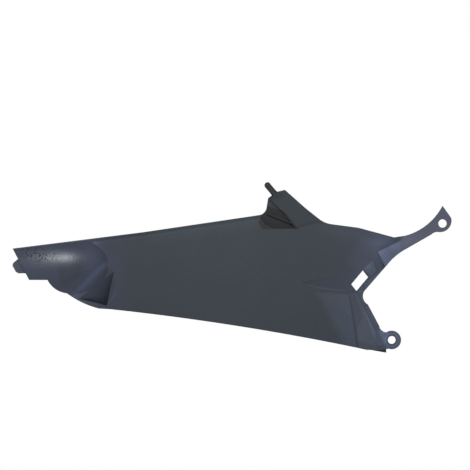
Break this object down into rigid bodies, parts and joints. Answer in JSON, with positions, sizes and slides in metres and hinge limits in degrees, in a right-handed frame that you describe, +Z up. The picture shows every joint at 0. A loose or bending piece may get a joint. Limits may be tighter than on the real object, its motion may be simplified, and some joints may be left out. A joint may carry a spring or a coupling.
{
  "type": "motorcycle inner fairing panel",
  "caption": "Moulded inner fairing panel: a long tapering crowned plate with a rounded nose, a bracket with a locating pin, and an arm and a lug for the mounting screws.",
  "frame": {"origin": "centre of the upper mounting hole, on its front face", "axes": "+X along the panel from the nose to the lugs, +Z up as mounted, -Y out of the visible face"},
  "size_m": [0.4402, 0.0336, 0.1701],
  "materials": {
    "moulded_plastic": "fine moulded grain, satin"
  },
  "bodies": {
    "root": {"inner_fairing_panel": "moulded_plastic"}
  },
  "joints": []
}
